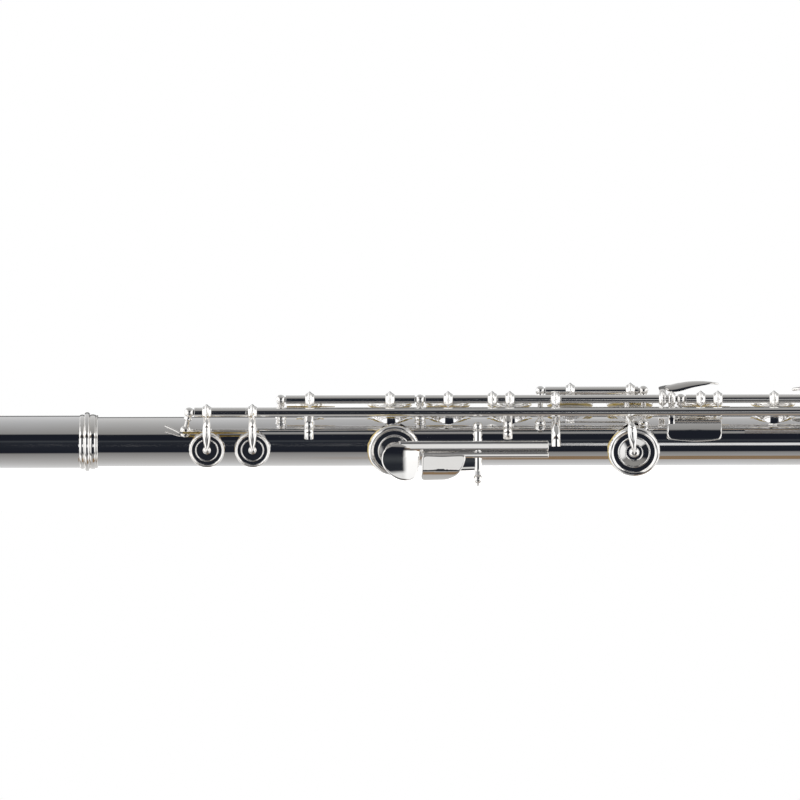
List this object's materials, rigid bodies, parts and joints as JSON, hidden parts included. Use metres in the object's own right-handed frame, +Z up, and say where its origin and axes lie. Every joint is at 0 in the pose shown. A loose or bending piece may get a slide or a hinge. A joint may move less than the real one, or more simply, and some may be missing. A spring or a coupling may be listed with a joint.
{
  "type": "concert flute",
  "caption": "Silver-plated concert flute with closed key cups, an offset G and a C foot; it plays by opening and closing padded tone holes.",
  "frame": {"origin": "on the bore axis at the foot's open end", "axes": "+X along the bore out of the foot, +Z up through the finger keys, -Y towards the player"},
  "size_m": [0.689, 0.0476, 0.0419],
  "materials": {
    "tube_silver": "mirror silver plate",
    "key_silver": "bright silver plate",
    "steel_rod": "ground steel",
    "spring_gold": "drawn wire",
    "pad_skin": "thin skin over felt",
    "cork": "cork"
  },
  "bodies": {
    "body": {"body_tube": "tube_silver", "barrel": "tube_silver", "barrel_ring": "key_silver", "rib": "key_silver", "key_posts": "key_silver", "trill_posts": "key_silver", "thumb_posts": "key_silver", "needle_springs": "spring_gold", "fixed_steels": "steel_rod"},
    "headjoint": {"head_tube": "tube_silver", "lip_plate": "key_silver", "embouchure_riser": "key_silver"},
    "crown": {"crown": "key_silver"},
    "stopper": {"stopper_screw": "key_silver", "stopper_cork": "cork", "stopper_plate": "key_silver"},
    "d_sharp_trill": {"d_sharp_trill_cup": "key_silver", "d_sharp_trill_touch": "key_silver", "d_sharp_trill_pad": "pad_skin", "trill_steel": "steel_rod"},
    "d_trill": {"d_trill_key": "key_silver", "d_trill_pad": "pad_skin"},
    "c": {"c_key": "key_silver", "c_pad": "pad_skin"},
    "b_flat": {"b_flat_key": "key_silver", "b_flat_pad": "pad_skin", "b_flat_link": "key_silver", "b_flat_steel": "steel_rod"},
    "a": {"a_key": "key_silver", "a_pad": "pad_skin"},
    "g": {"g_key": "key_silver", "g_pad": "pad_skin"},
    "g_sharp": {"g_sharp_key": "key_silver", "g_sharp_pad": "pad_skin"},
    "side_lever": {"side_lever": "key_silver"},
    "thumb": {"thumb_key": "key_silver", "thumb_pad": "pad_skin"},
    "thumb_lever": {"thumb_lever": "key_silver"},
    "f_sharp": {"f_sharp_key": "key_silver", "f_sharp_pad": "pad_skin", "f_sharp_steel": "steel_rod"},
    "f": {"f_key": "key_silver", "f_pad": "pad_skin"},
    "e": {"e_key": "key_silver", "e_pad": "pad_skin"},
    "d": {"d_key": "key_silver", "d_pad": "pad_skin"},
    "foot": {"foot_tube": "tube_silver", "foot_socket": "key_silver", "foot_end_ring": "key_silver", "foot_posts": "key_silver", "foot_steels": "steel_rod"},
    "foot_d_sharp": {"foot_d_sharp_key": "key_silver", "foot_d_sharp_pad": "pad_skin"},
    "foot_c_sharp": {"foot_c_sharp_key": "key_silver", "foot_c_sharp_pad": "pad_skin"},
    "foot_c": {"foot_c_key": "key_silver", "foot_c_pad": "pad_skin"},
    "c_sharp_roller": {"c_sharp_roller": "key_silver"},
    "c_roller": {"c_roller": "key_silver"}
  },
  "joints": [
    {"name": "tuning_slide", "type": "slide", "parent": "body", "child": "headjoint", "axis": [-1, 0, 0], "range_m": [-0.0045, 0.02]},
    {"name": "crown_turn", "type": "hinge", "parent": "headjoint", "child": "crown", "pos_m": [-0.685, 0, 0], "axis": [1, 0, 0], "range_deg": [-720, 720]},
    {"name": "stopper_travel", "type": "slide", "parent": "headjoint", "child": "stopper", "axis": [1, 0, 0], "range_m": [-0.002, 0.002]},
    {"name": "d_sharp_trill_turn", "type": "hinge", "parent": "body", "child": "d_sharp_trill", "pos_m": [-0.4197, -0.014, 0.0117], "axis": [1, 0, 0], "range_deg": [-7, 0], "stiffness_Nm_per_rad": 0.02, "springref_deg": 14.32},
    {"name": "d_trill_turn", "type": "hinge", "parent": "body", "child": "d_trill", "pos_m": [-0.4015, -0.014, 0.0117], "axis": [1, 0, 0], "range_deg": [-7, 0], "stiffness_Nm_per_rad": 0.02, "springref_deg": 14.32},
    {"name": "c_turn", "type": "hinge", "parent": "body", "child": "c", "pos_m": [-0.363, -0.0132, 0.0167], "axis": [1, 0, 0], "range_deg": [-8.2, 0], "stiffness_Nm_per_rad": 0.02, "springref_deg": 14.32},
    {"name": "a_turn", "type": "hinge", "parent": "body", "child": "a", "pos_m": [-0.2988, -0.0132, 0.0167], "axis": [1, 0, 0], "range_deg": [-8.2, 0], "stiffness_Nm_per_rad": 0.02, "springref_deg": 14.32},
    {"name": "b_flat_turn", "type": "hinge", "parent": "body", "child": "b_flat", "pos_m": [-0.3234, -0.0132, 0.0167], "axis": [1, 0, 0], "range_deg": [-8.2, 0], "stiffness_Nm_per_rad": 0.02, "springref_deg": 14.32},
    {"name": "g_turn", "type": "hinge", "parent": "body", "child": "g", "pos_m": [-0.263, -0.00739, 0.01996], "axis": [1, 0, 0], "range_deg": [-8.2, 0], "stiffness_Nm_per_rad": 0.02, "springref_deg": 14.32},
    {"name": "g_sharp_turn", "type": "hinge", "parent": "body", "child": "g_sharp", "pos_m": [-0.2492, -0.0132, 0.0167], "axis": [1, 0, 0], "range_deg": [-6, 0], "stiffness_Nm_per_rad": 0.02, "springref_deg": 14.32},
    {"name": "side_lever_turn", "type": "hinge", "parent": "body", "child": "side_lever", "pos_m": [-0.2342, -0.0132, 0.0167], "axis": [1, 0, 0], "range_deg": [0, 5], "stiffness_Nm_per_rad": 0.02, "springref_deg": -14.32},
    {"name": "thumb_turn", "type": "hinge", "parent": "body", "child": "thumb", "pos_m": [-0.3116, -0.0145, 0], "axis": [0, 0, 1], "range_deg": [-3.8, 0], "stiffness_Nm_per_rad": 0.02, "springref_deg": 14.32},
    {"name": "thumb_lever_turn", "type": "hinge", "parent": "body", "child": "thumb_lever", "pos_m": [-0.3116, -0.0145, 0], "axis": [0, 0, 1], "range_deg": [-3.8, 0], "stiffness_Nm_per_rad": 0.02, "springref_deg": 14.32},
    {"name": "f_turn", "type": "hinge", "parent": "body", "child": "f", "pos_m": [-0.1934, -0.0132, 0.0167], "axis": [1, 0, 0], "range_deg": [-8.2, 0], "stiffness_Nm_per_rad": 0.02, "springref_deg": 14.32},
    {"name": "f_sharp_turn", "type": "hinge", "parent": "body", "child": "f_sharp", "pos_m": [-0.2226, -0.0132, 0.0167], "axis": [1, 0, 0], "range_deg": [-8.2, 0], "stiffness_Nm_per_rad": 0.02, "springref_deg": 14.32},
    {"name": "e_turn", "type": "hinge", "parent": "body", "child": "e", "pos_m": [-0.164, -0.0132, 0.0167], "axis": [1, 0, 0], "range_deg": [-8.2, 0], "stiffness_Nm_per_rad": 0.02, "springref_deg": 14.32},
    {"name": "d_turn", "type": "hinge", "parent": "body", "child": "d", "pos_m": [-0.134, -0.0132, 0.0167], "axis": [1, 0, 0], "range_deg": [-8.2, 0], "stiffness_Nm_per_rad": 0.02, "springref_deg": 14.32},
    {"name": "foot_turn", "type": "hinge", "parent": "body", "child": "foot", "pos_m": [-0.116, 0, 0], "axis": [1, 0, 0], "range_deg": [-20, 20]},
    {"name": "foot_d_sharp_turn", "type": "hinge", "parent": "foot", "child": "foot_d_sharp", "pos_m": [-0.0995, -0.0132, 0.0167], "axis": [1, 0, 0], "range_deg": [0, 8], "stiffness_Nm_per_rad": 0.02, "springref_deg": -14.32},
    {"name": "foot_c_sharp_turn", "type": "hinge", "parent": "foot", "child": "foot_c_sharp", "pos_m": [-0.068, 0.0132, 0.0167], "axis": [1, 0, 0], "range_deg": [0, 8.2], "stiffness_Nm_per_rad": 0.02, "springref_deg": -14.32},
    {"name": "foot_c_turn", "type": "hinge", "parent": "foot", "child": "foot_c", "pos_m": [-0.0355, 0.0132, 0.0167], "axis": [1, 0, 0], "range_deg": [0, 8.2], "stiffness_Nm_per_rad": 0.02, "springref_deg": -14.32},
    {"name": "c_sharp_roller_spin", "type": "hinge", "parent": "foot_c_sharp", "child": "c_sharp_roller", "pos_m": [-0.0787, -0.02026, 0.02079], "axis": [1, 0, 0], "continuous": true},
    {"name": "c_roller_spin", "type": "hinge", "parent": "foot_c", "child": "c_roller", "pos_m": [-0.0787, -0.02432, 0.0214], "axis": [1, 0, 0], "continuous": true}
  ],
  "couplings": [
    {"joint": "stopper_travel", "follows": "crown_turn", "m_per_rad": 0.00015915},
    {"joint": "b_flat_turn", "follows": "a_turn", "ratio": 1},
    {"joint": "f_sharp_turn", "follows": "f_turn", "ratio": 1}
  ]
}
